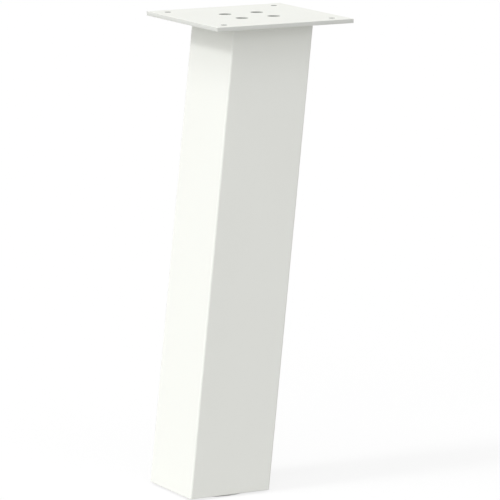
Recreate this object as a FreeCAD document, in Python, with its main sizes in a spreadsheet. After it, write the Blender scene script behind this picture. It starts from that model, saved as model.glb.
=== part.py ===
import FreeCAD, Part
import os
import Sketcher
from FreeCAD import Vector
from math import pi

# A square steel table leg with a mounting plate, a leaning tube and a levelling foot.
# Millimetres. The origin is the centre of the mounting plate's top face, +Z points up out of
# the plate, and the tube leans towards -X on its way down.

# Driving sizes: name, value, meaning
SIZES = (
    ("leg_height", 400, "plate's top face to the foot's underside, foot screwed in"),
    ("plate_side", 128, "side of the square mounting plate"),
    ("plate_thickness", 3.5, "thickness of the mounting plate"),
    ("plate_corner_radius", 1.0, "radius of the plate's four corners"),
    ("plate_edge_round", 0.4, "rounding of the plate's sheared edges"),
    ("corner_hole_bore", 5.5, "bore of the screw holes in the corners"),
    ("corner_hole_spacing", 101, "distance between two corner holes"),
    ("middle_hole_bore", 10.8, "bore of the holes round the plate's middle"),
    ("middle_hole_spacing", 30, "distance between two middle holes"),
    ("tube_side", 75, "outer side of the square tube"),
    ("tube_wall", 1.5, "wall of the square tube"),
    ("tube_inner_radius", 0.5, "inner radius of the tube's folds"),
    ("tube_lean", 6, "lean of the tube from upright, in degrees"),
    ("tube_offset", 3.2, "tube's top centre from the plate's centre, along X"),
    ("tube_end_break", 0.4, "broken edge round the tube's lower end"),
    ("top_weld_leg", 1.5, "leg of the fillet weld under the mounting plate"),
    ("end_weld_leg", 3, "leg of the fillet weld under the end plate"),
    ("weld_toe", 0.2, "thickness of a weld where it runs out"),
    ("end_plate_thickness", 4, "thickness of the plate in the tube's lower end"),
    ("end_plate_clearance", 0.4, "gap between the end plate and the tube's wall"),
    ("end_plate_corner_radius", 3, "radius of the end plate's corners"),
    ("stud_hole_clearance", 0.5, "gap round the stud in the end plate"),
    ("nut_width", 17, "weld nut across flats"),
    ("nut_height", 8, "height of the weld nut"),
    ("nut_corner_break", 1.0, "height of the bevel on the nut's upper corners"),
    ("thread_clearance", 0.05, "gap between the stud and the nut's bore"),
    ("stud_size", 10, "outer diameter of the stud's thread"),
    ("stud_point", 1.0, "bevel at the stud's upper end"),
    ("stud_spare", 1, "stud above the nut when the foot is fully out"),
    ("foot_travel", 12, "how far the foot screws out"),
    ("collar_width", 14, "hexagon collar of the stud, across flats"),
    ("collar_height", 4, "height of the hexagon collar"),
    ("collar_gap", 0.4, "gap between the collar and the foot disc"),
    ("stop_gap", 0.2, "gap between the collar and the end plate, foot screwed in"),
    ("flange_size", 16, "diameter of the stud's flange"),
    ("flange_thickness", 2.5, "thickness of the stud's flange"),
    ("flange_play", 0.15, "running gap round and over the flange in the foot disc"),
    ("pad_clearance", 2, "gap between the foot disc and the tube's wall"),
    ("pad_floor", 2.5, "thickness of the foot disc's floor"),
    ("pad_rim_wall", 2.5, "wall of the foot disc's rim"),
    ("pad_edge_round", 1.0, "rounding of the foot disc's lower edge"),
    ("foot_show", 1.9, "how far the foot disc shows below the tube, foot screwed in"),
    ("hub_wall", 4, "wall of the foot disc's hub round the flange"),
    ("snap_overhang", 0.7, "how far the hub's lip reaches over the flange"),
    ("snap_lip", 1.35, "thickness of the hub's lip"),
    ("rib_count", 12, "number of ribs between hub and rim"),
    ("rib_thickness", 1.5, "thickness of a rib"),
    ("rib_drop", 0.8, "how far a rib's top lies below the rim"),
    ("gate_size", 6, "diameter of the moulding dimple under the foot disc"),
    ("gate_depth", 0.5, "depth of that dimple"),
)

# Sizes that follow from the driving sizes
LEAN = "tan(Sizes.tube_lean * 1 deg)"
LEVEL = "cos(Sizes.tube_lean * 1 deg)"
BORE_SIDE = "(Sizes.tube_side - 2 * Sizes.tube_wall)"
OUTER_RADIUS = "(Sizes.tube_inner_radius + Sizes.tube_wall)"
TUBE_HEIGHT = "(Sizes.leg_height - Sizes.foot_show - Sizes.plate_thickness)"
FOOT_X = f"Sizes.tube_offset - {TUBE_HEIGHT} * {LEAN}"
PAD_RADIUS = f"({BORE_SIDE} / 2 - Sizes.pad_clearance)"

# Heights above the foot disc's underside, from the disc up to the stud's upper end
LIP_BASE = "(Sizes.pad_floor + Sizes.flange_thickness + Sizes.flange_play)"
PAD_TOP = f"({LIP_BASE} + Sizes.snap_lip)"
COLLAR_BASE = f"({PAD_TOP} + Sizes.collar_gap)"
COLLAR_TOP = f"({COLLAR_BASE} + Sizes.collar_height)"
END_PLATE_BASE = f"({COLLAR_TOP} + Sizes.stop_gap)"
END_PLATE_TOP = f"({END_PLATE_BASE} + Sizes.end_plate_thickness)"
NUT_TOP = f"({END_PLATE_TOP} + Sizes.nut_height)"
STUD_TOP = f"({NUT_TOP} + Sizes.foot_travel + Sizes.stud_spare)"

CUTTING = ("Pocket", "Groove", "SubtractiveLoft")
CORNER_SIGNS = ((1, 1), (-1, 1), (-1, -1), (1, -1))

doc = FreeCAD.newDocument("TableLeg")


def make_sheet():
    """Puts the driving sizes into the document's sheet: name, number, meaning."""
    sheet = doc.addObject("Spreadsheet::Sheet", "Sizes")
    for row, (name, number, meaning) in enumerate(SIZES, 1):
        sheet.set(f"A{row}", name)
        sheet.set(f"B{row}", str(number))
        sheet.setAlias(f"B{row}", name)
        sheet.set(f"C{row}", meaning)
    doc.recompute()
    return sheet


def number_of(expression):
    """The present value of an expression, as a plain number."""
    result = sheet.evalExpression(expression)
    return float(getattr(result, "Value", result))


def new_body(name):
    body = doc.addObject("PartDesign::Body", name)
    body.Label = name
    return body


def stand_on_foot(body):
    """Puts a body that is drawn round the foot's own axis, upwards from the floor, in its place."""
    body.setExpression("Placement.Base.x", FOOT_X)
    body.setExpression("Placement.Base.z", "-Sizes.leg_height")


def origin_of(body, role):
    return next(item for item in body.Origin.OriginFeatures if item.Role == role)


def new_sketch(body, name, height="0", shift="0", plane="XY_Plane"):
    """A sketch on one of the body's planes, moved up and along X."""
    sketch = body.newObject("Sketcher::SketchObject", name)
    sketch.AttachmentSupport = [(origin_of(body, plane), "")]
    sketch.MapMode = "FlatFace"
    sketch.setExpression("AttachmentOffset.Base.z", height)
    sketch.setExpression("AttachmentOffset.Base.x", shift)
    return sketch


def bind(sketch, constraint, name, expression):
    """Adds a constraint whose size is an expression."""
    index = sketch.addConstraint(constraint)
    sketch.renameConstraint(index, name)
    sketch.setExpression(f"Constraints.{name}", expression)


def draw_rounded_square(sketch, name, along_x, along_y, radius):
    """A rectangle with rounded corners, centred on the sketch's origin."""
    half_x = number_of(along_x) / 2
    half_y = number_of(along_y) / 2
    bend = number_of(radius)
    arcs = []
    for turn, (sign_x, sign_y) in enumerate(CORNER_SIGNS):
        centre = Vector(sign_x * (half_x - bend), sign_y * (half_y - bend), 0)
        circle = Part.Circle(centre, Vector(0, 0, 1), bend)
        arc = Part.ArcOfCircle(circle, turn * pi / 2, (turn + 1) * pi / 2)
        arcs.append(sketch.addGeometry(arc))
    sides = []
    for turn, arc in enumerate(arcs):
        following = arcs[(turn + 1) % 4]
        start = sketch.getPoint(arc, 2)
        end = sketch.getPoint(following, 1)
        side = sketch.addGeometry(Part.LineSegment(start, end))
        sides.append(side)
        sketch.addConstraint(Sketcher.Constraint("Tangent", arc, 2, side, 1))
        sketch.addConstraint(Sketcher.Constraint("Tangent", side, 2, following, 1))
        if turn:
            sketch.addConstraint(Sketcher.Constraint("Equal", arcs[0], arc))
    top, left, bottom, right = sides
    sketch.addConstraint(Sketcher.Constraint("Horizontal", top))
    sketch.addConstraint(Sketcher.Constraint("Horizontal", bottom))
    sketch.addConstraint(Sketcher.Constraint("Vertical", left))
    sketch.addConstraint(Sketcher.Constraint("Vertical", right))
    sketch.addConstraint(Sketcher.Constraint("Symmetric", arcs[0], 3, arcs[2], 3, -1, 1))
    bind(sketch, Sketcher.Constraint("DistanceX", left, 1, right, 1, 2 * half_x), name + "_x", along_x)
    bind(sketch, Sketcher.Constraint("DistanceY", bottom, 1, top, 1, 2 * half_y), name + "_y", along_y)
    bind(sketch, Sketcher.Constraint("Radius", arcs[0], bend), name + "_radius", radius)


def draw_circle(sketch, name, diameter, centre_x=None, centre_y=None):
    """A circle on the sketch's origin, or at a distance from it along both axes."""
    place = Vector(0, 0, 0)
    if centre_x:
        place = Vector(number_of(centre_x), number_of(centre_y), 0)
    size = number_of(diameter)
    circle = sketch.addGeometry(Part.Circle(place, Vector(0, 0, 1), size / 2))
    bind(sketch, Sketcher.Constraint("Diameter", circle, size), name + "_size", diameter)
    if centre_x:
        bind(sketch, Sketcher.Constraint("DistanceX", -1, 1, circle, 3, place.x), name + "_x", centre_x)
        bind(sketch, Sketcher.Constraint("DistanceY", -1, 1, circle, 3, place.y), name + "_y", centre_y)
    else:
        sketch.addConstraint(Sketcher.Constraint("Coincident", circle, 3, -1, 1))


def draw_half_section(sketch, points):
    """A closed outline beside the sketch's upright axis. A point is (radius, height), and the
    radius is None on the axis."""
    places = [Vector(number_of(radius or "0"), number_of(height), 0) for radius, height in points]
    count = len(places)
    lines = []
    for index in range(count):
        line = Part.LineSegment(places[index], places[(index + 1) % count])
        lines.append(sketch.addGeometry(line))
    for index, line in enumerate(lines):
        following = lines[(index + 1) % count]
        sketch.addConstraint(Sketcher.Constraint("Coincident", line, 2, following, 1))
    for index, (radius, height) in enumerate(points):
        line = lines[index]
        place = places[index]
        if radius is None:
            sketch.addConstraint(Sketcher.Constraint("PointOnObject", line, 1, -2))
        else:
            aside = Sketcher.Constraint("DistanceX", -1, 1, line, 1, place.x)
            bind(sketch, aside, f"radius_{index}", radius)
        if height == "0":
            sketch.addConstraint(Sketcher.Constraint("PointOnObject", line, 1, -1))
        else:
            above = Sketcher.Constraint("DistanceY", -1, 1, line, 1, place.y)
            bind(sketch, above, f"height_{index}", height)


def pad_up(body, name, sketch, length):
    feature = body.newObject("PartDesign::Pad", name)
    feature.Profile = sketch
    feature.setExpression("Length", length)
    return feature


def sweep_down_the_lean(body, name, kind, sketch, height):
    """Pads or cuts a level outline down along the tube's leaning axis, through a given height."""
    feature = body.newObject(f"PartDesign::{kind}", name)
    feature.Profile = sketch
    feature.UseCustomVector = True
    feature.AlongSketchNormal = True
    feature.Direction = Vector(0, 0, -1)
    feature.setExpression("Direction.x", f"-{LEAN}")
    feature.setExpression("Length", height)
    return feature


def cut_through(body, name, sketch):
    feature = body.newObject("PartDesign::Pocket", name)
    feature.Profile = sketch
    feature.Type = "ThroughAll"
    feature.Midplane = True
    return feature


def pattern_round(body, name, feature, count):
    """Repeats a feature evenly round the body's upright axis."""
    pattern = body.newObject("PartDesign::PolarPattern", name)
    pattern.Originals = [feature]
    pattern.Axis = (origin_of(body, "Z_Axis"), [""])
    pattern.Angle = 360
    pattern.setExpression("Occurrences", count)
    body.Tip = pattern
    return pattern


def revolve(body, name, sketch, kind="Revolution"):
    feature = body.newObject(f"PartDesign::{kind}", name)
    feature.Profile = sketch
    feature.ReferenceAxis = (sketch, ["V_Axis"])
    feature.Angle = 360
    return feature


def loft(body, name, kind, first, last):
    feature = body.newObject(f"PartDesign::{kind}", name)
    feature.Profile = first
    feature.Sections = [last]
    feature.Ruled = True
    return feature


def edges_where(feature, wanted):
    """Names of the feature's edges that pass a test."""
    edges = feature.Shape.Edges
    return [f"Edge{index}" for index, edge in enumerate(edges, 1) if wanted(edge)]


def soften(body, name, kind, feature, size_name, size, wanted):
    """Rounds or bevels the feature's edges that pass a test."""
    doc.recompute()
    softened = body.newObject(f"PartDesign::{kind}", name)
    softened.Base = (feature, edges_where(feature, wanted))
    softened.setExpression(size_name, size)
    return softened


def lies_level(edge):
    """True for an edge that keeps its height."""
    return edge.BoundBox.ZLength < 0.001


def make_mounting_plate():
    """The flat plate that is screwed under the table: one sheared and drilled square."""
    body = new_body("mounting_plate")
    outline = new_sketch(body, "plate_outline", "-Sizes.plate_thickness")
    side = "Sizes.plate_side"
    draw_rounded_square(outline, "plate", side, side, "Sizes.plate_corner_radius")
    blank = pad_up(body, "plate_blank", outline, "Sizes.plate_thickness")
    soften(body, "plate_edges", "Fillet", blank, "Radius", "Sizes.plate_edge_round", lies_level)
    for name in ("corner", "middle"):
        hole = new_sketch(body, f"{name}_hole_circle")
        place = f"Sizes.{name}_hole_spacing / 2"
        draw_circle(hole, "hole", f"Sizes.{name}_hole_bore", place, place)
        first = cut_through(body, f"{name}_hole", hole)
        pattern_round(body, f"{name}_holes", first, "4")
    return body


def make_leg_tube():
    """The square tube, leaning, with both ends cut level. A level cut is longer along X than
    the tube's side, by the lean. The lower end's outer edge is broken by a short taper."""
    body = new_body("leg_tube")
    level_side = f"Sizes.tube_side / {LEVEL}"
    edge = "Sizes.tube_end_break"
    straight = f"{TUBE_HEIGHT} - {edge}"
    top = "-Sizes.plate_thickness"
    section = new_sketch(body, "tube_section", top, "Sizes.tube_offset")
    draw_rounded_square(section, "outside", level_side, "Sizes.tube_side", OUTER_RADIUS)
    sweep_down_the_lean(body, "tube_block", "Pad", section, straight)
    taper_x = f"Sizes.tube_offset - ({straight}) * {LEAN}"
    taper = new_sketch(body, "taper_start", f"{top} - ({straight})", taper_x)
    draw_rounded_square(taper, "outside", level_side, "Sizes.tube_side", OUTER_RADIUS)
    end = new_sketch(body, "taper_end", f"{top} - {TUBE_HEIGHT}", FOOT_X)
    end_x = f"{level_side} - 2 * {edge}"
    end_y = f"Sizes.tube_side - 2 * {edge}"
    draw_rounded_square(end, "outside", end_x, end_y, f"{OUTER_RADIUS} - {edge}")
    loft(body, "tube_end", "AdditiveLoft", taper, end)
    bore = new_sketch(body, "bore_section", top, "Sizes.tube_offset")
    draw_rounded_square(bore, "inside", f"{BORE_SIDE} / {LEVEL}", BORE_SIDE, "Sizes.tube_inner_radius")
    sweep_down_the_lean(body, "tube_bore", "Pocket", bore, TUBE_HEIGHT)
    return body


def make_top_weld():
    """The fillet weld all round the tube, under the mounting plate."""
    body = new_body("top_weld")
    leg = "Sizes.top_weld_leg"
    toe = "Sizes.weld_toe"
    shift = f"Sizes.tube_offset - {leg} * {LEAN}"
    upper = new_sketch(body, "weld_at_plate", "-Sizes.plate_thickness", "Sizes.tube_offset")
    lower = new_sketch(body, "weld_at_tube", f"-Sizes.plate_thickness - {leg}", shift)
    for sketch, extra in ((upper, leg), (lower, toe)):
        along_x = f"Sizes.tube_side / {LEVEL} + 2 * {extra}"
        along_y = f"Sizes.tube_side + 2 * {extra}"
        draw_rounded_square(sketch, "weld", along_x, along_y, f"{OUTER_RADIUS} + {extra}")
    loft(body, "weld_block", "AdditiveLoft", upper, lower)
    tube = new_sketch(body, "tube_outside", "-Sizes.plate_thickness", "Sizes.tube_offset")
    draw_rounded_square(tube, "tube", f"Sizes.tube_side / {LEVEL}", "Sizes.tube_side", OUTER_RADIUS)
    sweep_down_the_lean(body, "tube_room", "Pocket", tube, leg)
    return body


def make_end_plate():
    """The plate set into the tube's lower end, square-cut, with a hole for the stud."""
    body = new_body("end_plate")
    middle = f"({END_PLATE_BASE} + Sizes.end_plate_thickness / 2 - Sizes.foot_show) * {LEAN}"
    outline = new_sketch(body, "end_plate_outline", END_PLATE_BASE, middle)
    along_y = f"{BORE_SIDE} - 2 * Sizes.end_plate_clearance"
    along_x = f"{BORE_SIDE} / {LEVEL} - 2 * Sizes.end_plate_clearance"
    draw_rounded_square(outline, "plate", along_x, along_y, "Sizes.end_plate_corner_radius")
    pad_up(body, "end_plate_blank", outline, "Sizes.end_plate_thickness")
    hole = new_sketch(body, "stud_hole_circle")
    draw_circle(hole, "hole", "Sizes.stud_size + 2 * Sizes.stud_hole_clearance")
    cut_through(body, "stud_hole", hole)
    stand_on_foot(body)
    return body


def make_end_plate_weld():
    """The fillet weld all round under the end plate, in the corner with the tube's wall."""
    body = new_body("end_plate_weld")
    leg = "Sizes.end_weld_leg"
    toe = "Sizes.weld_toe"
    upper_shift = f"({END_PLATE_BASE} - Sizes.foot_show) * {LEAN}"
    lower_shift = f"({END_PLATE_BASE} - Sizes.foot_show - {leg}) * {LEAN}"
    bore = new_sketch(body, "bore_outline", END_PLATE_BASE, upper_shift)
    draw_rounded_square(bore, "bore", f"{BORE_SIDE} / {LEVEL}", BORE_SIDE, "Sizes.tube_inner_radius")
    sweep_down_the_lean(body, "weld_block", "Pad", bore, leg)
    upper = new_sketch(body, "opening_at_plate", END_PLATE_BASE, upper_shift)
    lower = new_sketch(body, "opening_at_wall", f"{END_PLATE_BASE} - {leg}", lower_shift)
    for sketch, extra in ((upper, leg), (lower, toe)):
        along_x = f"{BORE_SIDE} / {LEVEL} - 2 * {extra}"
        along_y = f"{BORE_SIDE} - 2 * {extra}"
        draw_rounded_square(sketch, "opening", along_x, along_y, leg)
    loft(body, "weld_opening", "SubtractiveLoft", upper, lower)
    stand_on_foot(body)
    return body


def add_hexagon(body, name, width, height, base):
    """A hexagon prism round the body's upright axis, with two flats square to Y."""
    prism = body.newObject("PartDesign::AdditivePrism", name)
    prism.AttachmentSupport = [(origin_of(body, "XY_Plane"), "")]
    prism.MapMode = "FlatFace"
    prism.Polygon = 6
    prism.setExpression("Circumradius", f"{width} / 2 / cos(30 deg)")
    prism.setExpression("Height", height)
    prism.setExpression("AttachmentOffset.Base.z", base)
    return prism


def make_weld_nut():
    """The hexagon nut on top of the end plate, upper corners bevelled."""
    body = new_body("weld_nut")
    add_hexagon(body, "nut_hexagon", "Sizes.nut_width", "Sizes.nut_height", END_PLATE_TOP)
    corner = "Sizes.nut_width / 2 / cos(30 deg)"
    flat = "Sizes.nut_width / 2"
    bevel = new_sketch(body, "nut_bevel", plane="XZ_Plane")
    outside = f"{corner} + Sizes.nut_corner_break"
    points = (
        (flat, NUT_TOP),
        (outside, f"{NUT_TOP} - Sizes.nut_corner_break * ({outside} - {flat}) / ({corner} - {flat})"),
        (outside, NUT_TOP),
    )
    draw_half_section(bevel, points)
    revolve(body, "nut_corners", bevel, "Groove")
    bore = new_sketch(body, "nut_bore_circle")
    draw_circle(bore, "bore", "Sizes.stud_size + 2 * Sizes.thread_clearance")
    cut_through(body, "nut_bore", bore)
    stand_on_foot(body)
    return body


def make_foot_stud():
    """The stud: a round flange held in the foot disc, a hexagon collar and the threaded shank."""
    body = new_body("foot_stud")
    section = new_sketch(body, "stud_section", plane="XZ_Plane")
    shank = "Sizes.stud_size / 2"
    flange_top = "Sizes.pad_floor + Sizes.flange_thickness"
    points = (
        (None, "Sizes.pad_floor"),
        ("Sizes.flange_size / 2", "Sizes.pad_floor"),
        ("Sizes.flange_size / 2", flange_top),
        (shank, flange_top),
        (shank, f"{STUD_TOP} - Sizes.stud_point"),
        (f"{shank} - Sizes.stud_point", STUD_TOP),
        (None, STUD_TOP),
    )
    draw_half_section(section, points)
    revolve(body, "stud_turned", section)
    add_hexagon(body, "stud_collar", "Sizes.collar_width", "Sizes.collar_height", COLLAR_BASE)
    stand_on_foot(body)
    return body


def make_foot_pad():
    """The moulded foot disc: floor, rim and ribbed hub, snapped over the stud's flange."""
    body = new_body("foot_pad")
    section = new_sketch(body, "pad_section", plane="XZ_Plane")
    rim_inside = f"{PAD_RADIUS} - Sizes.pad_rim_wall"
    pocket = "(Sizes.flange_size / 2 + Sizes.flange_play)"
    mouth = "(Sizes.flange_size / 2 - Sizes.snap_overhang)"
    hub = f"{pocket} + Sizes.hub_wall"
    points = (
        (None, "Sizes.gate_depth"),
        ("Sizes.gate_size / 2", "Sizes.gate_depth"),
        ("Sizes.gate_size / 2", "0"),
        (PAD_RADIUS, "0"),
        (PAD_RADIUS, PAD_TOP),
        (rim_inside, PAD_TOP),
        (rim_inside, "Sizes.pad_floor"),
        (hub, "Sizes.pad_floor"),
        (hub, PAD_TOP),
        (f"{mouth} + Sizes.snap_lip / 2", PAD_TOP),
        (mouth, f"{PAD_TOP} - Sizes.snap_lip / 2"),
        (mouth, LIP_BASE),
        (pocket, LIP_BASE),
        (pocket, "Sizes.pad_floor"),
        (None, "Sizes.pad_floor"),
    )
    draw_half_section(section, points)
    disc = revolve(body, "pad_moulding", section)
    rim_reach = number_of(PAD_RADIUS)

    def lower_rim(edge):
        """The outermost edge of the disc's underside."""
        box = edge.BoundBox
        return lies_level(edge) and abs(box.ZMin) < 0.001 and box.XLength > 1.9 * rim_reach

    soften(body, "pad_lower_edge", "Fillet", disc, "Radius", "Sizes.pad_edge_round", lower_rim)
    rib_top = f"{PAD_TOP} - Sizes.rib_drop"
    rib_middle = f"({rim_inside} + {hub}) / 2"
    rib_outline = new_sketch(body, "rib_outline", "Sizes.pad_floor", rib_middle)
    overlap = "Sizes.pad_rim_wall"
    length = f"({rim_inside}) - ({hub}) + {overlap}"
    draw_rounded_square(rib_outline, "rib", length, "Sizes.rib_thickness", "Sizes.rib_thickness / 4")
    rib = pad_up(body, "rib", rib_outline, f"{rib_top} - Sizes.pad_floor")
    pattern_round(body, "ribs", rib, "Sizes.rib_count")
    stand_on_foot(body)
    return body


def check_document(bodies):
    """Stops the build if a feature failed, cut nothing or left a body that isn't one solid."""
    for item in doc.Objects:
        if "Invalid" in item.State or "Error" in item.State:
            raise RuntimeError(f"{item.Name} failed: {item.State}")
        if item.TypeId.split("::")[-1] in CUTTING:
            if item.Shape.Volume > item.BaseFeature.Shape.Volume - 0.01:
                raise RuntimeError(f"{item.Name} cuts nothing")
    for body in bodies:
        shape = body.Shape
        if shape.isNull() or not shape.isValid() or len(shape.Solids) != 1:
            raise RuntimeError(f"{body.Label} isn't one valid solid")


def write_parts(bodies):
    os.makedirs("parts", exist_ok=True)
    for body in bodies:
        body.Shape.exportStep(f"parts/{body.Label}.step")
        box = body.Shape.BoundBox
        print(
            f"{body.Label}: {body.Shape.Volume / 1000:.2f} cm3, X {box.XMin:.2f} to {box.XMax:.2f}, "
            f"Y {box.YMin:.2f} to {box.YMax:.2f}, Z {box.ZMin:.2f} to {box.ZMax:.2f}"
        )


sheet = make_sheet()
bodies = [
    make_mounting_plate(),
    make_leg_tube(),
    make_top_weld(),
    make_end_plate(),
    make_end_plate_weld(),
    make_weld_nut(),
    make_foot_stud(),
    make_foot_pad(),
]
doc.recompute()
check_document(bodies)
write_parts(bodies)
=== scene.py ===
# %% [markdown]
# # A square steel table leg in white powder coat
#
# The leg has four things to look at: a thin mounting plate with eight holes, a square tube that
# leans outwards, a fine weld between the two, and a round levelling foot that peeps out below.
# Its solids were made as a drawing to size. Here they get their finish, their welds and their
# threads, and then a camera and a small white studio.
#
# The solids are loaded first. They stay exactly where they are, in metres, with the middle of
# the plate's top face at the origin and Z up. Everything that is added is placed from them.

# %% Load the solids
from math import cos, floor, inf, pi, radians, sin, sqrt, tan

import bmesh
import bpy
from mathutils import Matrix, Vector


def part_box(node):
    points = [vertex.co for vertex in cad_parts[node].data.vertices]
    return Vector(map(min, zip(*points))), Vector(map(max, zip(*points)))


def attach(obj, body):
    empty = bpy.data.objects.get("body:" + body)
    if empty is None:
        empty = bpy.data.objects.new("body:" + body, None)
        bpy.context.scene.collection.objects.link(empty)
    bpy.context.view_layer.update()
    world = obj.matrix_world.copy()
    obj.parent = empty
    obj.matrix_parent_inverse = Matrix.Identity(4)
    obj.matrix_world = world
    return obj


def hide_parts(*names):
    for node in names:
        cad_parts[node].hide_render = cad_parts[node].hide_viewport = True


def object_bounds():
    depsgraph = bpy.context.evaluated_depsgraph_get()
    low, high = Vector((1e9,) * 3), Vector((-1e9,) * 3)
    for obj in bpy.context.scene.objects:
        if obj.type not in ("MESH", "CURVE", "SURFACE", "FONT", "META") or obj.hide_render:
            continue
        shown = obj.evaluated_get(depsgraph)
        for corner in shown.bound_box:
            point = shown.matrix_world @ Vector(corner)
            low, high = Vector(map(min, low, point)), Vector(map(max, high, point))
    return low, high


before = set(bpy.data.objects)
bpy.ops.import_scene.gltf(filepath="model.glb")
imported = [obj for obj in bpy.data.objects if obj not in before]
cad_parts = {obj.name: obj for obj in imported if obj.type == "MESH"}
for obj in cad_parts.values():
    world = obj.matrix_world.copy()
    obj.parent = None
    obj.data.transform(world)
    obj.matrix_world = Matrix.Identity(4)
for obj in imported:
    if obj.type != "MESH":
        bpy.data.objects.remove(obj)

MM = 0.001
solid_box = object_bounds()
print("solids:", sorted(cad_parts))
for corner in solid_box:
    print("corner of their box, in mm:", tuple(round(side / MM, 2) for side in corner))

# %% [markdown]
# ## Read the places that the new pieces need
#
# A part that sits on another part should take its place from it, so that it still fits after the
# drawing changes. The tube's top, the foot's axis and the nut's height are read from the boxes of
# the solids. Only sizes that no box can tell, such as the lean of the tube, are typed in.

# %% Places on the leg
LEAN = radians(6)
plate_low, plate_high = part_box("mounting_plate")
tube_low, tube_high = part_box("leg_tube")
stud_low, stud_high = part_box("foot_stud")
nut_low, nut_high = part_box("weld_nut")
end_plate_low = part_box("end_plate")[0]
pad_low, pad_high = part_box("foot_pad")

FLOOR_Z = pad_low.z
FOOT_X = (pad_low.x + pad_high.x) / 2
PLATE_UNDERSIDE = plate_low.z
print(f"floor at {FLOOR_Z / MM:.1f} mm, foot axis at x = {FOOT_X / MM:.2f} mm")

# %% [markdown]
# ## The camera
#
# The photograph was taken from a few metres away with a long lens: the plate's two sides hardly
# converge. A camera with the wrong lens can be turned for ever and never fit, so lens, distance
# and angle were worked out together, from the corners of the plate, the eight holes and the
# tube's edges. The camera looks at a point inside the tube, from the front left and a little above.
# Its lens is given in millimetres, for a sensor 36 millimetres wide.

# %% Camera
VIEW_TURN = radians(-28.109)
VIEW_RISE = radians(10.031)
VIEW_DISTANCE = 3533.4 * MM
VIEW_TARGET = Vector((-2.06, -4.93, -198.0)) * MM
VIEW_LENS = 302.68
SENSOR_WIDTH = 36
VIEW_REACH = 200.0

level = cos(VIEW_RISE)
away = Vector((sin(VIEW_TURN) * level, -cos(VIEW_TURN) * level, sin(VIEW_RISE)))
camera = bpy.data.objects.new("studio_camera", bpy.data.cameras.new("studio_camera"))
camera.data.sensor_width = SENSOR_WIDTH
camera.data.lens = VIEW_LENS
camera.data.clip_end = VIEW_REACH
camera.location = VIEW_TARGET + away * VIEW_DISTANCE
camera.rotation_euler = (-away).to_track_quat("-Z", "Y").to_euler()
bpy.context.scene.collection.objects.link(camera)
bpy.context.scene.camera = camera
print("camera at", tuple(round(value, 3) for value in camera.location))

# %% [markdown]
# ## Nodes without clutter
#
# A finish is a small network of nodes. Written out in full, one node takes four or five lines, so
# helpers do the writing. One adds a node and fills in its inputs, where an input may be a number or
# the output of another node. One starts a material. One joins a finished colour, roughness and
# relief to its shader. The rest stand for nodes that every finish here needs.

# %% Helpers for finishes
def add_node(tree, kind, inputs=(), **settings):
    """Adds a node, sets its options, and fills or links its inputs by name or by place."""
    node = tree.nodes.new("ShaderNode" + kind)
    for name, value in settings.items():
        setattr(node, name, value)
    for name, value in dict(inputs).items():
        if isinstance(value, bpy.types.NodeSocket):
            tree.links.new(value, node.inputs[name])
        else:
            node.inputs[name].default_value = value
    return node


def new_finish(name, **plain_inputs):
    """A material with one Principled shader, whose plain numbers sit on the shader itself."""
    material = bpy.data.materials.new(name)
    material.use_nodes = True
    shader = material.node_tree.nodes["Principled BSDF"]
    for socket, value in plain_inputs.items():
        shader.inputs[socket.replace("_", " ")].default_value = value
    return material, material.node_tree, shader


# %% Nodes that every finish needs
def noise(tree, place, size, detail=2.0):
    """Cloudy noise whose lumps are about `size` metres across."""
    inputs = {"Vector": place, "Scale": 1 / size, "Detail": detail}
    return add_node(tree, "TexNoise", inputs).outputs["Fac"]


def between(tree, value, low, high):
    """Spreads a 0 to 1 value over another range."""
    ends = {"Value": value, "To Min": low, "To Max": high}
    return add_node(tree, "MapRange", ends).outputs["Result"]


def mixed(tree, share, first, second):
    """Blends two colours; each may be a plain colour or the output of a node."""
    inputs = {"Factor": share, "A": first, "B": second}
    return add_node(tree, "Mix", inputs, data_type="RGBA").outputs["Result"]


def larger(tree, first, second):
    """The larger of two values."""
    return add_node(tree, "Math", {0: first, 1: second}, operation="MAXIMUM").outputs[0]


def join_up(tree, shader, colour, gloss, relief, strength, depth):
    """Joins a finish to its shader. `relief` is noise that makes lumps `depth` metres high."""
    bump = add_node(tree, "Bump", {"Height": relief, "Strength": strength, "Distance": depth})
    tree.links.new(colour, shader.inputs["Base Color"])
    tree.links.new(gloss, shader.inputs["Roughness"])
    tree.links.new(bump.outputs["Normal"], shader.inputs["Normal"])


# %% [markdown]
# ## White powder coat
#
# Powder coat is dry plastic dust that is baked onto the steel. It melts into an even, matt skin
# with a very fine ripple, called orange peel: lumps about a millimetre wide and only a few
# hundredths high.
#
# A picture of paint could be wrapped round the tube, but it would need unwrapping and would repeat.
# Noise in three dimensions needs neither. It is read at each point's place in the part, so the
# finish runs on over every edge. Three things vary, all of them slightly: the shade over a hand's
# breadth, the gloss over a finger's, and the ripple.

# %% Powder coat
COAT = (0.875, 0.885, 0.842, 1)
COAT_WARM = (0.866, 0.873, 0.826, 1)

def powder_coat(name, add_painted_shade=None):
    """White powder coat. A function given as the second argument, if any, takes the tree and the
    coat's colour and returns a colour with painted shade in it."""
    material, tree, shader = new_finish(name, IOR=1.5, Specular_IOR_Level=0.3)
    place = add_node(tree, "TexCoord").outputs["Object"]
    colour = mixed(tree, noise(tree, place, 60 * MM), COAT, COAT_WARM)
    if add_painted_shade:
        colour = add_painted_shade(tree, colour)
    gloss = between(tree, noise(tree, place, 12 * MM), 0.68, 0.76)
    peel = noise(tree, place, 1.3 * MM, detail=3.0)
    join_up(tree, shader, colour, gloss, peel, strength=0.5, depth=0.08 * MM)
    return material


def dress(node, finish):
    """Gives one of the drawing's solids its finish."""
    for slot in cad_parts[node].material_slots:
        slot.material = finish


coat = powder_coat("white_powder_coat")
dress("leg_tube", coat)
dress("end_plate", coat)
print("powder coat on the tube and the end plate")
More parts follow.
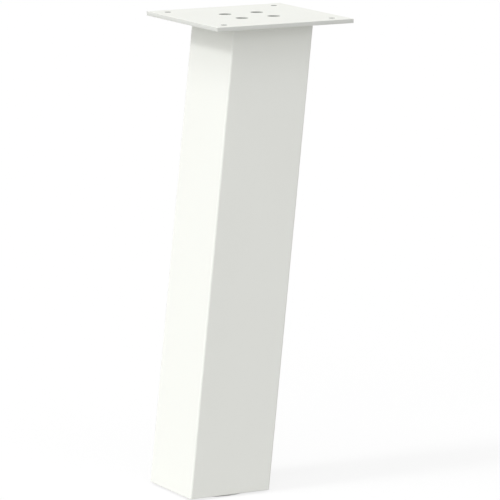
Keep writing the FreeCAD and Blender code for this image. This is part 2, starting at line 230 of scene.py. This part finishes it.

# %% [markdown]
# ## Painted shade on the cut edges of the plate
#
# The plate's cut edges and the walls of its punched holes are made greyer in their colour. This
# is painted shade, standing in for the shade that falls on these upright walls and inside the
# holes, and it is darkest in the four small corner holes. The plate shows little more than its
# edges and holes, so this matters for its looks.
#
# The plate could be split into faces with a finish each. It is simpler to let the material find the
# places. Where the surface stands upright it is a cut: its direction has next to no height. The
# distance from the middle tells the cuts apart, and a colour ramp in steps gives each its tone of
# painted shade.

# %% Coat with painted shade on the cut edges
CUT_BEGINS, CUT_REACHED = 0.6, 0.2
# Greys of painted shade for upright walls, by share of the way out: middle holes, darker corner
# holes, outer edges.
CUT_SHADE_TONES = {
    0.0: (0.38, 0.388, 0.368, 1),
    0.6: (0.17, 0.174, 0.165, 1),
    0.95: (0.69, 0.70, 0.665, 1),
}

def without_sign(tree, vector):
    """X, Y and Z of a vector, all made positive."""
    positive = add_node(tree, "VectorMath", {0: vector}, operation="ABSOLUTE").outputs[0]
    return add_node(tree, "SeparateXYZ", {0: positive}).outputs


def paint_shade_on_cuts(tree, colour):
    """Paints shade on upright walls by making them greyer. The tones are for shares of the way from
    middle to edge.
    """
    looked_up = add_node(tree, "TexCoord").outputs
    steepness = without_sign(tree, looked_up["Normal"])["Z"]
    limits = {"Value": steepness, "From Min": CUT_BEGINS, "From Max": CUT_REACHED}
    upright = add_node(tree, "MapRange", limits).outputs["Result"]
    across = without_sign(tree, looked_up["Object"])
    outward = larger(tree, across["X"], across["Y"])
    share = add_node(tree, "Math", {0: outward, 1: plate_high.x}, operation="DIVIDE").outputs[0]
    steps = add_node(tree, "ValToRGB", {"Fac": share})
    ramp = steps.color_ramp
    ramp.interpolation = "CONSTANT"
    ramp.elements.new(0.5)
    for stop, (way, tone) in zip(ramp.elements, CUT_SHADE_TONES.items()):
        stop.position, stop.color = way, tone
    return mixed(tree, upright, colour, steps.outputs["Color"])


# Powder coat with painted shade on its upright cut edges and inside its holes.
shaded_cut_coat = powder_coat("powder_coat_painted_shade_on_cuts", paint_shade_on_cuts)

# %% [markdown]
# ## From points to a finished piece
#
# The plate, the welds, the stud and the nut are made as loose points and faces first. One helper
# turns them into a piece: it merges points that fall together, closes what is still open, marks the
# edges that should stay crisp, and says which body carries the piece.

# %% Finishing a piece
def finish_piece(name, builder, body, finish, crisp=35):
    """Turns points and faces into a closed piece that rides on a body. `crisp` is in degrees."""
    bmesh.ops.remove_doubles(builder, verts=builder.verts, dist=0.001 * MM)
    rims = [edge for edge in builder.edges if edge.is_boundary]
    if rims:
        bmesh.ops.holes_fill(builder, edges=rims)
    bmesh.ops.recalc_face_normals(builder, faces=builder.faces)
    mesh = bpy.data.meshes.new(name)
    builder.to_mesh(mesh)
    builder.free()
    for face in mesh.polygons:
        face.use_smooth = True
    mesh.set_sharp_from_angle(angle=radians(crisp))
    mesh.materials.append(finish)
    piece = bpy.data.objects.new(name, mesh)
    bpy.context.scene.collection.objects.link(piece)
    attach(piece, body)
    print(f"{name}: {len(mesh.vertices)} points, {len(mesh.polygons)} faces")
    return piece


# %% [markdown]
# ## The mounting plate
#
# The plate is cut from sheet, and its holes are punched. The coat runs over every edge in a small
# round: along the outside, and over both rims of all eight holes. Those rounds catch a thin line
# of light, and without them steel looks like cut paper.
#
# The Bevel modifier rounds the edges of a solid, but it leaves creases here, because the flat top
# is a fan of very thin triangles between the holes. A flat curve is cleaner. The outline and the
# eight circles go into one curve, Blender fills what lies between them, gives it a thickness, and
# rounds all the rims alike. The round is added outside the line, so the line is drawn that much
# inside. In a hole outside means towards the middle, so there the line is drawn wider.

# %% Outlines
CORNER_SIGNS = ((1, 1), (-1, 1), (-1, -1), (1, -1))

def rounded_square(half_x, half_y, radius, per_side, per_corner):
    """Points round a rectangle with rounded corners, about the origin."""
    arcs = []
    for turn, (sign_x, sign_y) in enumerate(CORNER_SIGNS):
        centre = Vector((sign_x * (half_x - radius), sign_y * (half_y - radius), 0))
        angles = [(turn + step / per_corner) * pi / 2 for step in range(per_corner + 1)]
        arcs.append([centre + radius * Vector((cos(angle), sin(angle), 0)) for angle in angles])
    points = []
    for arc, following in zip(arcs, arcs[1:] + arcs[:1]):
        points += arc[:-1]
        points += [arc[-1].lerp(following[0], step / per_side) for step in range(per_side)]
    return points


def circle(x, y, radius, count=64):
    """Points round a circle, without its first point again at the end."""
    angles = [2 * pi * index / count for index in range(count)]
    return [Vector((x + radius * cos(angle), y + radius * sin(angle), 0)) for angle in angles]


# %% Plate
RIM_ROUND = 0.2 * MM
RIM_STEPS = 3
CORNER_ROUND = 1.0 * MM
FLAT = 0.999
HOLES = {"corner": (101 * MM, 5.5 * MM), "middle": (30 * MM, 10.8 * MM)}

half_side, corner = plate_high.x - RIM_ROUND, CORNER_ROUND - RIM_ROUND
outlines = [rounded_square(half_side, half_side, corner, per_side=1, per_corner=8)]
for spacing, bore in HOLES.values():
    for x, y in CORNER_SIGNS:
        outlines.append(circle(x * spacing / 2, y * spacing / 2, bore / 2 + RIM_ROUND))

drawing = bpy.data.curves.new("plate_drawing", "CURVE")
drawing.dimensions = "2D"
drawing.fill_mode = "BOTH"
drawing.extrude = (plate_high.z - plate_low.z) / 2 - RIM_ROUND
drawing.bevel_depth = RIM_ROUND
drawing.bevel_resolution = RIM_STEPS
for outline in outlines:
    line = drawing.splines.new("POLY")
    line.points.add(len(outline) - 1)
    for point, spot in zip(line.points, outline):
        point.co = (spot.x, spot.y, 0, 1)
    line.use_cyclic_u = True

drawn = bpy.data.objects.new("plate_drawing", drawing)
bpy.context.scene.collection.objects.link(drawn)
filled = drawn.evaluated_get(bpy.context.evaluated_depsgraph_get())
plate_mesh = bpy.data.meshes.new_from_object(filled)
bpy.data.objects.remove(drawn)

builder = bmesh.new()
builder.from_mesh(plate_mesh)
middle = Vector((0, 0, (plate_high.z + plate_low.z) / 2))
bmesh.ops.translate(builder, verts=builder.verts, vec=middle)
plate = finish_piece("coated_plate", builder, "leg", shaded_cut_coat)
for face in plate.data.polygons:
    face.use_smooth = abs(face.normal.z) < FLAT
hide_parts("mounting_plate")

# %% [markdown]
# ## A skin over rings of points
#
# The welds, the stud and the nut have one thing in common: each is a stack of closed rings with
# equally many points. One helper joins each ring to the next with four-sided faces.

# %% Stacked rings
def join_rings(builder, rings, round_again=False):
    """Faces between level rings. With `round_again` the last ring meets the first."""
    layers = [[builder.verts.new(point) for point in ring] for ring in rings]
    pairs = list(zip(layers, layers[1:]))
    if round_again:
        pairs.append((layers[-1], layers[0]))
    for lower, upper in pairs:
        for index in range(len(lower)):
            builder.faces.new((lower[index - 1], lower[index], upper[index], upper[index - 1]))


# %% [markdown]
# ## The welds
#
# A weld is laid down as a row of small pools of melted steel. Each freezes over the edge of the one
# before, and leaves a curved step, so a good bead looks like a row of overlapping coins. The one
# under the mounting plate is thin and neat, because it shows. The one that holds the end plate
# inside the tube is thicker and coarser, because nobody sees it.
#
# Both follow a square with rounded corners, as the plate does. One ring of points is laid along
# each height of the bead's round face, and every point is pushed out a little more or less, by how
# far it has got along the row of pools. The middle of each pool runs ahead of its sides, which
# bends the steps. A real bead is flatter than a quarter of a circle, and never quite even.

# %% Path of a weld
def way_along(points):
    """How far along the closed path each point lies."""
    total, ways = 0, []
    for point, following in zip(points, points[1:] + points[:1]):
        ways.append(total)
        total += (following - point).length
    return ways, total


# %% Bead of a weld
OUTSIDE, INSIDE = 1, -1
POINTS_PER_POOL, POINTS_PER_CORNER = 5, 10
ROWS = 7
FLATTER = 0.17
POOL_EDGE, POOL_RISE = 0.93, 0.07
RUNS_AHEAD = 0.35
UNEVEN, UNEVEN_BEAT = 0.012, 0.7
CORNER_FILL = 2 / 3

def weld_bead(name, half_x, half_y, radius, place, leg, pool, side):
    """A rippled bead in the corner between a wall and the plate over it. It reaches `leg` out and
    down, and `pool` is the step from one pool to the next. `side` is OUTSIDE or INSIDE a tube."""
    spacing = round(2 * half_x / pool * POINTS_PER_POOL), POINTS_PER_CORNER
    wall = rounded_square(half_x, half_y, radius, *spacing)
    ways, total = way_along(wall)
    pools = round(total / pool)
    rings = [[place + point for point in wall]]
    for row in range(ROWS + 1):
        angle = row / ROWS * pi / 2
        middle = sin(2 * angle)
        out, down = leg * cos(angle), leg * sin(angle)
        grown = radius + (out if side == OUTSIDE else CORNER_FILL * out)
        outer = rounded_square(half_x + side * out, half_y + side * out, grown, *spacing)
        ring = []
        for point, far, way in zip(wall, outer, ways):
            phase = way / total * pools + RUNS_AHEAD * middle
            step = phase - floor(phase)
            swell = POOL_EDGE + POOL_RISE * sqrt(1 - (2 * step - 1) ** 2)
            swell = (1 - FLATTER * middle) * (swell + UNEVEN * sin(UNEVEN_BEAT * phase))
            depth = down * swell
            ring.append(place + point.lerp(far, swell) + Vector((-depth * tan(LEAN), 0, -depth)))
        rings.append(ring)
    builder = bmesh.new()
    join_rings(builder, rings, round_again=True)
    return finish_piece(name, builder, "leg", coat, crisp=50)


# %% The two welds
TUBE_HALF_Y = (tube_high.y - tube_low.y) / 2
TUBE_HALF_X = TUBE_HALF_Y / cos(LEAN)
TUBE_TOP_X = tube_high.x - TUBE_HALF_X
TUBE_WALL = 1.5 * MM
TUBE_FOLD = 2 * MM
TOP_SIZES = {"leg": 1.5 * MM, "pool": 1.5 * MM}
END_SIZES = {"leg": 3 * MM, "pool": 2.4 * MM}

place = Vector((TUBE_TOP_X, 0, PLATE_UNDERSIDE))
outline = TUBE_HALF_X, TUBE_HALF_Y, TUBE_FOLD
top_bead = weld_bead("top_weld_bead", *outline, place, side=OUTSIDE, **TOP_SIZES)
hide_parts("top_weld")

fall = PLATE_UNDERSIDE - end_plate_low.z
place = Vector((TUBE_TOP_X - fall * tan(LEAN), 0, end_plate_low.z))
outline = TUBE_HALF_X - TUBE_WALL / cos(LEAN), TUBE_HALF_Y - TUBE_WALL, TUBE_FOLD - TUBE_WALL
end_bead = weld_bead("end_weld_bead", *outline, place, side=INSIDE, **END_SIZES)
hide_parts("end_plate_weld")

# %% [markdown]
# ## Bright zinc
#
# The stud and its nut are plated with zinc, a thin bright metal with a cool, slightly cloudy shine.
# Turning leaves fine lines round the axis. They are noise squeezed along the height, so that the
# lumps become thin rings.

# %% Zinc plating
ZINC_COOL = (0.66, 0.68, 0.70, 1)
ZINC_BRIGHT = (0.77, 0.77, 0.76, 1)
SQUEEZE = (0.05, 0.05, 1)

zinc, tree, shader = new_finish("bright_zinc", Metallic=1.0)
place = add_node(tree, "TexCoord").outputs["Object"]
shade = mixed(tree, noise(tree, place, 5 * MM, detail=4.0), ZINC_COOL, ZINC_BRIGHT)
gloss = between(tree, noise(tree, place, 2 * MM), 0.22, 0.38)
squeezed = add_node(tree, "Mapping", {"Vector": place, "Scale": SQUEEZE}).outputs["Vector"]
lines = noise(tree, squeezed, 0.15 * MM)
join_up(tree, shader, shade, gloss, lines, strength=0.2, depth=0.01 * MM)
print("zinc for the stud and its nut")

# %% [markdown]
# ## The screw thread
#
# The foot is screwed in and out by a metric thread: ten millimetres across, one and a half from
# turn to turn. Plain rings on a cylinder would look like a thread, but could not wind through a
# nut. So the rings climb: each point lies a little higher than the last, and after one turn it has
# reached the next ring of the same kind. Cut along the axis, a turn shows a flat crest, a straight
# flank, a narrow root and a flank again, so five rings for each turn are enough. Each has a radius
# and a place, which is counted in turns from the middle of the crest.
#
# The nut gets the same thread from outside, a tenth of a millimetre larger. Both are wound from the
# same height, so they mesh, and because the foot moves one turn's rise in each turn, they still
# mesh when it is screwed out.

# %% Thread and hexagon
PITCH = 1.5 * MM
AROUND = 72
CREST, ROOT, DEEPEST = 5.0 * MM, 4.1 * MM, 4.05 * MM
THREAD_ROWS = ((-0.06, CREST), (0.06, CREST), (0.41, ROOT), (0.5, DEEPEST), (0.59, ROOT))

def ring_of(radius_at, height):
    """A level ring round the foot's axis. `radius_at` gives the radius for an angle."""
    ring = []
    for index in range(AROUND):
        angle = 2 * pi * index / AROUND
        radius = radius_at(angle)
        ring.append(Vector((FOOT_X + radius * cos(angle), radius * sin(angle), height)))
    return ring


def round_ring(radius, height):
    """A level circle round the foot's axis."""
    return ring_of(lambda angle: radius, height)


def hexagon_ring(width, height, limit=inf):
    """A hexagon ring across flats `width`, with its corners cut back to the radius `limit`."""
    def radius_at(angle):
        from_flat = angle % (pi / 3) - pi / 6
        return min(width / 2 / cos(from_flat), limit)
    return ring_of(radius_at, height)


def thread_rings(low, high, radius_for):
    """Climbing rings of the thread between two heights. `radius_for` may change a radius."""
    first = floor((low - FLOOR_Z) / PITCH) - 2
    last = floor((high - FLOOR_Z) / PITCH) + 1
    rings = []
    for turn in range(first, last + 1):
        for share, radius in THREAD_ROWS:
            ring = []
            for index in range(AROUND):
                angle = 2 * pi * index / AROUND
                height = FLOOR_Z + (turn + share + index / AROUND) * PITCH
                height = min(max(height, low), high)
                size = radius_for(radius, height)
                ring.append(Vector((FOOT_X + size * cos(angle), size * sin(angle), height)))
            rings.append(ring)
    return rings


# %% [markdown]
# A climbing ring doesn't close on itself: its last point is one pitch higher than its first. So the
# faces over the seam have to join it to the ring of the same kind one turn further on.

# %% Joining climbing rings
def join_climbing(builder, rings):
    """Faces over climbing rings. Over the seam each ring meets the one a whole turn above."""
    layers = [[builder.verts.new(point) for point in ring] for ring in rings]
    shift = len(THREAD_ROWS)
    for row in range(len(layers) - 1 - shift):
        lower, upper = layers[row], layers[row + 1]
        for index in range(AROUND - 1):
            builder.faces.new((lower[index], lower[index + 1], upper[index + 1], upper[index]))
        seam_low, seam_high = layers[row + shift], layers[row + 1 + shift]
        builder.faces.new((lower[-1], seam_low[0], seam_high[0], upper[-1]))


# %% [markdown]
# ## The foot's stud
#
# From below: a round flange that the plastic disc snaps over, a short neck, a hexagon for the
# spanner, a relief groove, and the thread. A real hexagon has its corners turned off on top and
# below at 30 degrees, which draws a small curve on each flat. Rings whose corners are cut back to
# a growing radius give that curve.

# %% Flange, neck, collar and groove of the stud
FLANGE_BASE = stud_low.z
FLANGE_TOP = FLANGE_BASE + 2.5 * MM
FLANGE_RADIUS = 8 * MM
EDGE = 0.3 * MM
NECK_RADIUS = 5 * MM
COLLAR_BASE = FLANGE_BASE + 4.4 * MM
COLLAR_TOP = COLLAR_BASE + 4 * MM
COLLAR_WIDTH = 14 * MM
CORNER_SLOPE = tan(radians(30))
CORNER_RISES = (0.0, 0.15 * MM, 0.3 * MM, 0.45 * MM, 0.63 * MM)
GROOVE_MOUTH, GROOVE_SIDE = 4.6 * MM, 0.4 * MM
RELIEF = 4.05 * MM
THREAD_LOW, THREAD_HIGH = COLLAR_TOP + 1.2 * MM, stud_high.z

def collar_ring(height, rise):
    """The collar's outline, `rise` away from its nearer end."""
    return hexagon_ring(COLLAR_WIDTH, height, COLLAR_WIDTH / 2 + rise / CORNER_SLOPE)


rings = [
    round_ring(FLANGE_RADIUS - EDGE, FLANGE_BASE),
    round_ring(FLANGE_RADIUS, FLANGE_BASE + EDGE),
    round_ring(FLANGE_RADIUS, FLANGE_TOP - EDGE),
    round_ring(FLANGE_RADIUS - EDGE, FLANGE_TOP),
    round_ring(NECK_RADIUS, FLANGE_TOP),
    round_ring(NECK_RADIUS, COLLAR_BASE),
]
rings += [collar_ring(COLLAR_BASE + rise, rise) for rise in CORNER_RISES]
rings += [collar_ring(COLLAR_TOP - rise, rise) for rise in reversed(CORNER_RISES)]
rings += [
    round_ring(GROOVE_MOUTH, COLLAR_TOP),
    round_ring(RELIEF, COLLAR_TOP + GROOVE_SIDE),
    round_ring(RELIEF, THREAD_LOW),
]
print(f"{len(rings)} rings below the stud's thread")


# %% Stud
def stud_radius(radius, height):
    """Lets the thread run out at both ends of the shank."""
    return min(radius, RELIEF + height - THREAD_LOW, RELIEF + THREAD_HIGH - height)


builder = bmesh.new()
join_rings(builder, rings)
join_climbing(builder, thread_rings(THREAD_LOW, THREAD_HIGH, stud_radius))
stud = finish_piece("levelling_stud", builder, "stud", zinc)
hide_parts("foot_stud")

# %% [markdown]
# ## The nut that is welded to the end plate
#
# It stays with the leg while the stud turns in it. Outside it is a hexagon with its upper corners
# turned off, inside it is the same thread, cut open at both mouths so that the stud finds its way.

# %% Nut
NUT_BASE, NUT_TOP = nut_low.z, nut_high.z
FLAT_AT = 17 * MM / 2
CORNER_AT = FLAT_AT / cos(pi / 6)
CORNER_HEIGHT = 1 * MM
MOUTH = 5.05 * MM
THREAD_ROOM = 0.1 * MM
NARROWEST = 4.25 * MM

rings = [round_ring(MOUTH, NUT_BASE), hexagon_ring(2 * FLAT_AT, NUT_BASE)]
for share in (1.0, 0.75, 0.5, 0.25, 0.0):
    limit = FLAT_AT + share * (CORNER_AT - FLAT_AT)
    rings.append(hexagon_ring(2 * FLAT_AT, NUT_TOP - share * CORNER_HEIGHT, limit))
rings.append(round_ring(MOUTH, NUT_TOP))


def nut_radius(radius, height):
    """The stud's thread with room round it, opened at both mouths of the nut."""
    grooved = min(max(radius + THREAD_ROOM, NARROWEST), MOUTH)
    return max(grooved, MOUTH - (height - NUT_BASE), MOUTH - (NUT_TOP - height))


builder = bmesh.new()
join_rings(builder, rings)
join_climbing(builder, thread_rings(NUT_BASE, NUT_TOP, nut_radius))
nut = finish_piece("stud_nut", builder, "leg", zinc)
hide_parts("weld_nut")

# %% [markdown]
# ## The moulded disc
#
# The disc under the stud is a plastic moulding. Its mould is spark-eroded, which leaves a fine,
# even grain that hides scratches, and the plastic lets a little light in, so its edges look soft.
# The disc's solid has the right shape already, and only gets this finish.

# %% Foot plastic
PLASTIC = (0.88, 0.88, 0.855, 1)
PLASTIC_GREYER = (0.84, 0.84, 0.815, 1)

plastic, tree, shader = new_finish("moulded_plastic", IOR=1.49, Specular_IOR_Level=0.35)
place = add_node(tree, "TexCoord").outputs["Object"]
shade = mixed(tree, noise(tree, place, 25 * MM), PLASTIC, PLASTIC_GREYER)
gloss = between(tree, noise(tree, place, 6 * MM), 0.5, 0.62)
grain = noise(tree, place, 0.35 * MM)
join_up(tree, shader, shade, gloss, grain, strength=0.3, depth=0.03 * MM)
dress("foot_pad", plastic)
print("finish on the foot disc")

# %% [markdown]
# ## The studio
#
# The photograph shows the leg on pure white, lit softly. Its faces tell where the light comes from.
# The left face is the brightest, and the plate's shadow on it ends in a soft line two centimetres
# down: a lamp on the left, 39 degrees up. Closer under the plate the shadow gets darker once more,
# so another lamp stands on that side, higher up, and a weak one stands low, which reaches the face
# under the plate. The two faces on either side of the front edge differ less than these lamps alone
# would make them, so broad light comes from the front too.
#
# To find the strengths, the leg was rendered once for each lamp alone. Light adds up, so any
# mixture of the lamps is a sum of those pictures, and the best one can be worked out from the
# tones of the photograph.
#
# Lamps in a room fade with distance, and the floor would go grey behind the leg. A sun lamp with a
# wide angle gives the same soft shadows and never fades, so all the lamps are suns.

# %% Lamps
def softbox(name, turn, rise, width, strength):
    """A wide sun lamp. It stands `turn` degrees round from the left (90 is in front), `rise`
    degrees up, and is `width` degrees across as seen from the leg."""
    turn, rise = radians(turn), radians(rise)
    towards = Vector((-cos(turn) * cos(rise), -sin(turn) * cos(rise), sin(rise)))
    lamp = bpy.data.objects.new(name, bpy.data.lights.new(name, "SUN"))
    lamp.data.angle = radians(width)
    lamp.data.energy = strength * pi
    lamp.rotation_euler = towards.to_track_quat("Z", "Y").to_euler()
    bpy.context.scene.collection.objects.link(lamp)
    print(f"{name}: strength {strength}")


softbox("lamp_left", turn=0, rise=39, width=11, strength=0.276)
softbox("lamp_left_high", turn=0, rise=62, width=22, strength=0.175)
softbox("lamp_left_low", turn=0, rise=12, width=24, strength=0.039)
softbox("lamp_front_left", turn=45, rise=30, width=40, strength=0.191)
softbox("lamp_front_high", turn=90, rise=60, width=30, strength=0.082)

# %% [markdown]
# ## The glow all round, and a white behind
#
# The right face is darkest just under the plate and gets brighter for a few centimetres downwards.
# That is light from low all round, as between white walls, with a much darker ceiling over them.
# The world gives that glow. Where the camera looks past the leg, and where a shiny surface mirrors
# the room, it should be plain white instead. The Light Path node tells the two apart: it knows
# which kind of ray is asking.

# %% World
GLOW, CEILING = 1.07, 0.40
GLOW_ENDS, CEILING_STARTS = 0.35, 0.45

def seen_or_mirrored(tree):
    """1 for rays from the camera, from a mirroring surface or through glass, else 0."""
    ray = add_node(tree, "LightPath").outputs
    seen = larger(tree, ray["Is Camera Ray"], ray["Is Glossy Ray"])
    return larger(tree, seen, ray["Is Transmission Ray"])


world = bpy.data.worlds.new("studio_world")
bpy.context.scene.world = world
world.use_nodes = True
tree = world.node_tree
direction = add_node(tree, "TexCoord").outputs["Generated"]
upward = add_node(tree, "SeparateXYZ", {0: direction}).outputs["Z"]
fall = {"From Min": GLOW_ENDS, "From Max": CEILING_STARTS, "To Min": GLOW, "To Max": CEILING}
glow = add_node(tree, "MapRange", {"Value": upward, **fall}).outputs["Result"]
strengths = {"Factor": seen_or_mirrored(tree), "A": glow, "B": 1.0}
strength = add_node(tree, "Mix", strengths).outputs["Result"]
tree.links.new(strength, tree.nodes["Background"].inputs["Strength"])
tree.nodes["Background"].inputs["Color"].default_value = (1, 1, 1, 1)
print(f"world: glow {GLOW}, ceiling {CEILING}, plain white for the camera")

# %% [markdown]
# ## The floor
#
# A pale floor catches the leg's shadow and throws light back up into the corners under the plate.
# Seen by the camera it should fade into the white background, so most of what the camera sees is
# plain white light. The rest is the lit floor, and keeps the shadow. From below, the floor lets the
# view through, so that the underside of the foot can be looked at too.

# %% Floor
FLOOR_HALF = 60.0
SHADOW_SHARE = 0.2
FLOOR_BOUNCE = 0.48

floor_mesh = bpy.data.meshes.new("studio_floor")
corners = [(x * FLOOR_HALF, y * FLOOR_HALF, FLOOR_Z) for x, y in CORNER_SIGNS]
floor_mesh.from_pydata(corners, [], [(0, 1, 2, 3)])
studio_floor = bpy.data.objects.new("studio_floor", floor_mesh)
bpy.context.scene.collection.objects.link(studio_floor)

floor_finish = bpy.data.materials.new("floor_white")
floor_finish.use_nodes = True
tree = floor_finish.node_tree
tree.nodes.clear()
seen = seen_or_mirrored(tree)
paper = add_node(tree, "BsdfDiffuse", {"Color": between(tree, seen, FLOOR_BOUNCE, 1.0)})
white = add_node(tree, "Emission", {"Color": (1, 1, 1, 1), "Strength": 1.0})
share = between(tree, seen, 0.0, 1 - SHADOW_SHARE)
lit = add_node(tree, "MixShader", {0: share, 1: paper.outputs[0], 2: white.outputs[0]}).outputs[0]
below = add_node(tree, "NewGeometry").outputs["Backfacing"]
clear = add_node(tree, "BsdfTransparent").outputs[0]
floor_mix = add_node(tree, "MixShader", {0: below, 1: lit, 2: clear}).outputs[0]
add_node(tree, "OutputMaterial", {"Surface": floor_mix})
studio_floor.data.materials.append(floor_finish)
print(f"floor of {2 * FLOOR_HALF:.0f} m, shadow kept at {SHADOW_SHARE:.0%}")

# %% [markdown]
# ## How colours are shown
#
# The Standard view shows a colour as it is written.

# %% Finish
bpy.context.scene.view_settings.view_transform = "Standard"
